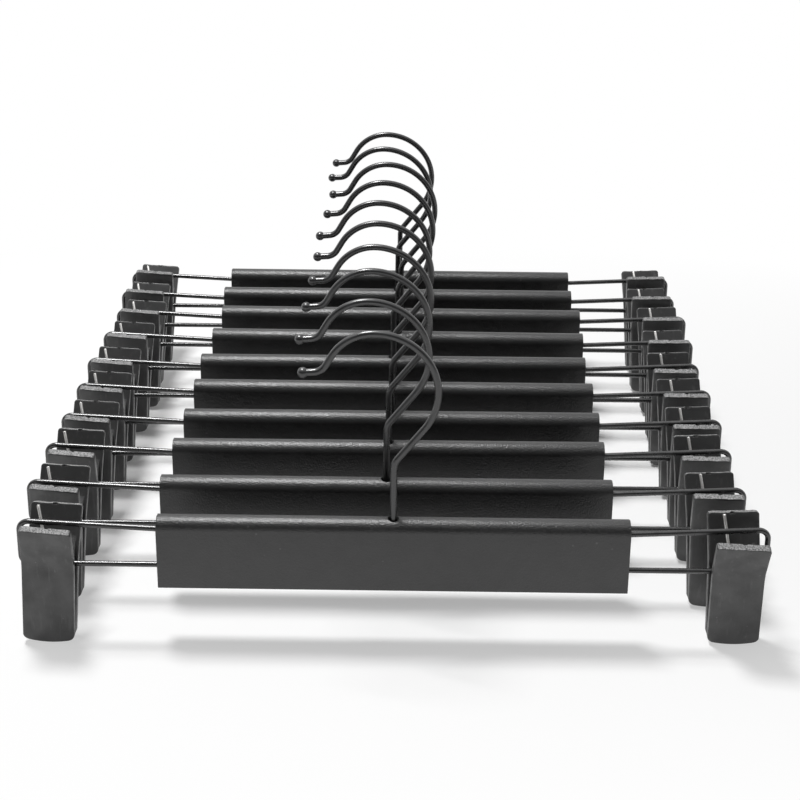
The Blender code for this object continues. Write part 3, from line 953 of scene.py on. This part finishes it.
def mark_wear_and_painted_light(mesh, line):
    """Write how pale and how shaded each point is.

    The handle's end is palest, a painted highlight on its up-facing end together with scuffing, then the
    scuffed edges. A painted shadow line runs below that end, and a patch of painted shade lies on the
    outer face in front of the rod.
    """
    end, heading = line.at(line.length)
    outward = Vector((0, math.cos(heading), math.sin(heading)))
    outer = Vector((0, -math.sin(heading), math.cos(heading)))
    tip = Vector((0, end.x, end.y))
    bm = bmesh.new()
    bm.from_mesh(mesh)
    worn = []
    sunk = []
    for vert in bm.verts:
        near_end = (vert.co - tip).dot(outward) > -END_DEPTH
        facing = vert.normal.dot(outward)
        steep = max([edge.calc_face_angle(0.0) for edge in vert.link_edges] + [0.0])
        on_end = near_end and facing > FACES_END
        # Full pale share on the handle's end: painted highlight on the up-facing end, together with
        # scuffing; steep edges get a little, for scuffing.
        worn.append(1.0 if on_end else EDGE_WEAR if steep > EDGE_FOLD else 0.0)
        # A thin line of painted shadow on the outer rim just below the handle's end.
        on_rim = near_end and FACES_RIM < facing <= FACES_END and vert.normal.dot(outer) > FACES_OUT
        # A soft patch of painted shade on the outer face, in front of and just below the rod, over the
        # sink mark.
        across = (vert.co.x - SINK_MIDDLE[0]) / SHADE_SPREAD[0]
        up = (vert.co.z + SHADE_BELOW_ROD - SHADE_SAG * across ** 2) / SHADE_SPREAD[1]
        on_front = vert.normal.y < FACES_FRONT and vert.co.y < FRONT_OF_ROD
        dent_shade = math.exp(-across ** 2 - up ** 2) if on_front else 0.0
        sunk.append(1.0 if on_rim else dent_shade)
    bm.free()
    for name, values in (("worn", worn), ("sunk", sunk)):
        mesh.attributes.new(name, "FLOAT", "POINT").data.foreach_set("value", values)


def jaw_pattern():
    """One jaw as it hangs at the front of a clip."""
    sizes = settings().jaw
    line = JawLine(sizes)
    base = jaw_plate(sizes, line)
    mesh = combine(base, [
        ("UNION", ear("left_ear", sizes, line, -sizes.outer_ear)),
        ("UNION", ear("right_ear", sizes, line, sizes.inner_ear)),
        ("DIFFERENCE", drill("rod_bore", sizes.bore, sizes.width * BORE_SHARE, SIDE_ON)),
        ("DIFFERENCE", gate_notch(sizes, line)),
        ("DIFFERENCE", pin_mark(sizes, line)),
    ])
    smooth(mesh, sharp=34.0)
    mark_wear_and_painted_light(mesh, line)
    return mesh


def skew_jaw(mesh, skew):
    """Push a front jaw round as its spring does: the same all over, and more up the handle."""
    sizes = settings().jaw
    for vert in mesh.vertices:
        share = max(0.0, vert.co.z / sizes.rise)
        vert.co.y -= vert.co.x * math.tan(skew + sizes.twist * share)


# Clip springs, in the place of their jaws

SPRING_SIDES = 12
LEG_OFF_WALL = math.radians(3.0)
FRONT_LEG_SHARE = 0.85
COIL_STEP = math.radians(20)
LEG_END_ROUND = 0.25


def front_leg(sizes):
    """The foot of a spring's front leg on the coil, and its way up the handle, a little off the wall."""
    line = JawLine(settings().jaw)
    heading = line.at(line.length)[1] - LEG_OFF_WALL
    foot = Vector((0, -math.sin(heading), math.cos(heading))) * sizes.coil
    return foot, Vector((0, math.cos(heading), math.sin(heading)))


def coil_pattern():
    """The coil of a spring with its front leg, wound on from the leg's end."""
    sizes = settings().spring
    foot, upward = front_leg(sizes)
    leg = sizes.leg * FRONT_LEG_SHARE
    top = Matrix.Translation(foot + upward * leg + Vector((sizes.reach, 0, 0)))
    bm = bmesh.new()
    ring = wire_ring(bm, sizes.wire / 2, SPRING_SIDES, top @ aimed(upward))
    bmesh.ops.edgeloop_fill(bm, edges=ring)
    made = bmesh.ops.extrude_edge_only(bm, edges=ring)["geom"]
    corners = corners_in(made)
    bmesh.ops.translate(bm, verts=corners, vec=-upward * leg)
    # The coil ends where the rear leg begins, as far behind the rod as it starts in front
    start = math.atan2(foot.z, foot.y) % math.tau
    part_turn = ((math.pi - start) % math.tau - start) % math.tau
    sweep = part_turn + math.tau * sizes.turns
    steps = int(sweep / COIL_STEP)
    drift = (-2 * sizes.reach / steps, 0, 0)
    last = swing(bm, corners + edges_in(made), (0, 0, 0), (1, 0, 0), sweep, steps, drift)
    bmesh.ops.edgeloop_fill(bm, edges=edges_in(last))
    return finished_mesh(bm, "spring_pattern", sharp=50.0)


def rear_leg_pattern(lean):
    """The leaning rear leg of a spring, which moves with the rear jaw."""
    sizes = settings().spring
    foot, upward = front_leg(sizes)
    radius = sizes.wire / 2
    back = Matrix.Diagonal((1, -1, 1, 1))
    low = Matrix.Translation(back @ foot + Vector((-sizes.reach, 0, 0)))
    bm = bmesh.new()
    raised = Matrix.Translation((0, 0, sizes.leg / 2))
    bmesh.ops.create_cone(bm, cap_ends=True, cap_tris=False, segments=SPRING_SIDES, radius1=radius,
                          radius2=radius, depth=sizes.leg, matrix=raised)
    round_off(bm, folds(bm, degrees=60), radius * LEG_END_ROUND, segments=2)
    leaning = low @ Matrix.Rotation(-lean, 4, "Y") @ aimed(back @ upward)
    bmesh.ops.transform(bm, matrix=leaning, verts=bm.verts)
    return finished_mesh(bm, "spring_leg_pattern", sharp=50.0)


# Operators, one for each group of like pieces

def put_on_frames(pattern, ending, finish):
    """Place a pattern on the frame of every hanger."""
    for hanger in HANGERS:
        node = hanger + "_frame"
        put(pattern, hanger + ending, hanger_place(hanger), finish, node, node)
    bpy.data.meshes.remove(pattern)


class HANGERS_OT_loops(Operator):
    """Bend the wire loop of every hanger"""
    bl_idname = "hangers.loops"
    bl_label = "Wire loops"

    def execute(self, context):
        colour = tuple(settings().finish.wire)
        finish = lacquer("loop_black_lacquer", colour, rough=0.22, grain_size=1500.0)
        put_on_frames(loop_pattern(), "_wire_loop", finish)
        return {"FINISHED"}


class HANGERS_OT_bars(Operator):
    """Make the bar of every hanger"""
    bl_idname = "hangers.bars"
    bl_label = "Bars"

    def execute(self, context):
        put_on_frames(bar_pattern(), "_bar", bar_skin())
        return {"FINISHED"}


class HANGERS_OT_hooks(Operator):
    """Bend the hook of every hanger"""
    bl_idname = "hangers.hooks"
    bl_label = "Hooks"

    def execute(self, context):
        pattern = hook_pattern()
        colour = tuple(settings().finish.hook)
        finish = lacquer("hook_black_lacquer", colour, rough=0.25, grain_size=1300.0)
        for hanger in HANGERS:
            node = hanger + "_hook"
            put(pattern, node + "_wire", hook_place(hanger), finish, node, node)
        bpy.data.meshes.remove(pattern)
        return {"FINISHED"}


class HANGERS_OT_jaws(Operator):
    """Mould the four clip jaws of every hanger"""
    bl_idname = "hangers.jaws"
    bl_label = "Clip jaws"

    def execute(self, context):
        pattern = jaw_pattern()
        finish = jaw_plastic()
        about = Matrix.Rotation(math.pi, 4, "Z")
        sizes = settings().jaw
        for hanger in HANGERS:
            for side, skew in zip(SIDES, (sizes.left_skew, sizes.right_skew)):
                place = rolled_place(hanger, side)
                front = hanger + "_" + side + "_front_jaw"
                rear = hanger + "_" + side + "_rear_jaw"
                put(pattern, front + "_moulding", place, finish, front, front, skew)
                put(pattern, rear + "_moulding", place @ about, finish, rear, rear)
        bpy.data.meshes.remove(pattern)
        return {"FINISHED"}


class HANGERS_OT_springs(Operator):
    """Wind the torsion spring of every clip"""
    bl_idname = "hangers.springs"
    bl_label = "Clip springs"

    def execute(self, context):
        sizes = settings().spring
        finish = spring_steel()
        shift = Matrix.Translation((sizes.shift, 0, 0))
        coil = coil_pattern()
        for side, lean in zip(SIDES, (sizes.left_lean, sizes.right_lean)):
            leg = rear_leg_pattern(lean)
            for hanger in HANGERS:
                clip = hanger + "_" + side
                place = rolled_place(hanger, side) @ shift
                put(coil, clip + "_spring", place, finish, clip + "_front_jaw")
                put(leg, clip + "_spring_rear_leg", place, finish, clip + "_rear_jaw")
            bpy.data.meshes.remove(leg)
        bpy.data.meshes.remove(coil)
        return {"FINISHED"}


# Stage

WHITE = (1.0, 1.0, 1.0, 1.0)
FLOOR_REACH = 4.0
FLOOR_GAP = 0.0002
CAMERA_PLACE = (0.0051, -0.7085, 0.4010)
CAMERA_PITCH = 0.3219
CAMERA_ROLL = 0.0100
CAMERA_YAW = -0.0048
CAMERA_SHIFT = -0.2775
FOCAL_PIXELS = 1528.78
PHOTO_PIXELS = 800.0
SENSOR_WIDTH = 36.0


def seen_directly(tree):
    """1 for camera, glossy and transmission rays."""
    path = tree.nodes.new("ShaderNodeLightPath")
    seen = summed(tree, path.outputs["Is Camera Ray"], path.outputs["Is Glossy Ray"])
    return summed(tree, seen, path.outputs["Is Transmission Ray"])


def floor_material():
    """Pale studio floor that shows nearly white to the camera and keeps the shadows."""
    material = bpy.data.materials.new("studio_floor")
    tree, surface = blank_tree(material, "ShaderNodeOutputMaterial")
    colour = (*settings().finish.floor, 1.0)
    matt = add(tree, "ShaderNodeBsdfDiffuse", {"Color": colour}).outputs["BSDF"]
    glow = add(tree, "ShaderNodeEmission", {"Color": WHITE, "Strength": 1.0}).outputs["Emission"]
    where = tree.nodes.new("ShaderNodeTexCoord").outputs["Object"]
    oval = add(tree, "ShaderNodeMapping", {"Vector": where, "Location": (0.0, -0.03, 0.0),
                                           "Scale": (0.5, 1.0, 0.0)}).outputs["Vector"]
    away = add(tree, "ShaderNodeVectorMath", {0: oval}, operation="LENGTH").outputs["Value"]
    lift = ranged(tree, away, 0.05, 0.312, to=(0.03, 1.0))
    share = times(tree, seen_directly(tree), lift)
    mix = add(tree, "ShaderNodeMixShader", {0: share, 1: matt, 2: glow})
    tree.links.new(mix.outputs["Shader"], surface)
    return material


def add_floor():
    """The floor, just below the tips of the clips."""
    bm = bmesh.new()
    bmesh.ops.create_grid(bm, x_segments=1, y_segments=1, size=FLOOR_REACH)
    bmesh.ops.translate(bm, verts=bm.verts, vec=(0, 0, CAD_BOX[0][2] - FLOOR_GAP))
    mesh = finished_mesh(bm, "studio_floor")
    mesh.materials.append(floor_material())
    floor = new_object("studio_floor", mesh)


def add_world():
    """White overhead and behind, dim in front and at the sides, and weaker as light on matt surfaces."""
    world = bpy.data.worlds.new("white_studio")
    bpy.context.scene.world = world
    tree, surface = blank_tree(world, "ShaderNodeOutputWorld")
    way = tree.nodes.new("ShaderNodeTexCoord").outputs["Generated"]
    behind = add(tree, "ShaderNodeVectorMath", {0: way, 1: (0.0, 1.0, 0.9)}, operation="DOT_PRODUCT")
    facing = ranged(tree, behind.outputs["Value"], -0.10, 0.55, to=(0.15, 1.0),
                    interpolation_type="SMOOTHSTEP")
    level = ranged(tree, seen_directly(tree), to=(0.15, 1.0))
    strength = times(tree, facing, level)
    back = add(tree, "ShaderNodeBackground", {"Color": WHITE, "Strength": strength})
    tree.links.new(back.outputs["Background"], surface)


def add_lamp(name, place, aim, width, power):
    """A square softbox that looks at a point."""
    data = bpy.data.lights.new(name, "AREA")
    data.shape = "SQUARE"
    data.size = width
    data.energy = power
    way = Vector(aim) - Vector(place)
    new_object(name, data).matrix_world = Matrix.Translation(place) @ aimed(way, "-Z")


def add_camera():
    """The photograph's view, fitted to the bars, rods and hooks."""
    flat = math.cos(CAMERA_PITCH)
    ahead = Vector((math.sin(CAMERA_YAW) * flat, math.cos(CAMERA_YAW) * flat, -math.sin(CAMERA_PITCH)))
    right = Vector((math.cos(CAMERA_YAW), -math.sin(CAMERA_YAW), 0.0))
    up = right.cross(ahead)
    across = right * math.cos(CAMERA_ROLL) + up * math.sin(CAMERA_ROLL)
    upright = up * math.cos(CAMERA_ROLL) - right * math.sin(CAMERA_ROLL)
    data = bpy.data.cameras.new("photo_view")
    data.sensor_width = SENSOR_WIDTH
    data.lens = SENSOR_WIDTH * FOCAL_PIXELS / PHOTO_PIXELS
    data.shift_y = CAMERA_SHIFT
    data.clip_start = 0.01
    camera = new_object("photo_view", data)
    turned = Matrix((across, upright, -ahead)).transposed().to_4x4()
    camera.matrix_world = Matrix.Translation(CAMERA_PLACE) @ turned
    bpy.context.scene.camera = camera


class HANGERS_OT_stage(Operator):
    """Set up the floor, the light and the camera"""
    bl_idname = "hangers.stage"
    bl_label = "Stage"

    def execute(self, context):
        add_floor()
        add_world()
        add_lamp("overhead_softbox", place=(-0.33, 0.12, 1.55), aim=(0.0, 0.0, 0.05), width=0.32,
                 power=25.0)
        add_camera()
        context.scene.view_settings.view_transform = "Standard"
        return {"FINISHED"}


class HANGERS_PT_row(Panel):
    """Steps and sizes of the hanger row"""
    bl_idname = "HANGERS_PT_row"
    bl_label = "Clip hanger row"
    bl_space_type = "VIEW_3D"
    bl_region_type = "UI"
    bl_category = "Hangers"

    def draw(self, context):
        layout = self.layout
        for step in STEPS:
            layout.operator(step.bl_idname)
        row = context.scene.hanger_row
        for part in ("loop", "bar", "hook", "jaw", "spring", "finish"):
            box = layout.box()
            box.label(text=part.capitalize())
            group = getattr(row, part)
            for key in group.__annotations__:
                box.prop(group, key)


STEPS = (HANGERS_OT_loops, HANGERS_OT_bars, HANGERS_OT_hooks, HANGERS_OT_jaws, HANGERS_OT_springs,
         HANGERS_OT_stage)
GROUPS = (LoopSizes, BarSizes, HookSizes, JawSizes, SpringSizes, Finishes, HangerSettings)
CLASSES = GROUPS + STEPS + (HANGERS_PT_row,)


def register():
    for item in CLASSES:
        bpy.utils.register_class(item)
    bpy.types.Scene.hanger_row = PointerProperty(type=HangerSettings)


def unregister():
    del bpy.types.Scene.hanger_row
    for item in reversed(CLASSES):
        bpy.utils.unregister_class(item)


def main():
    """Dress the whole row."""
    register()
    bpy.ops.hangers.loops()
    bpy.ops.hangers.bars()
    bpy.ops.hangers.hooks()
    bpy.ops.hangers.jaws()
    bpy.ops.hangers.springs()
    bpy.ops.hangers.stage()


if __name__ == "__main__":
    main()
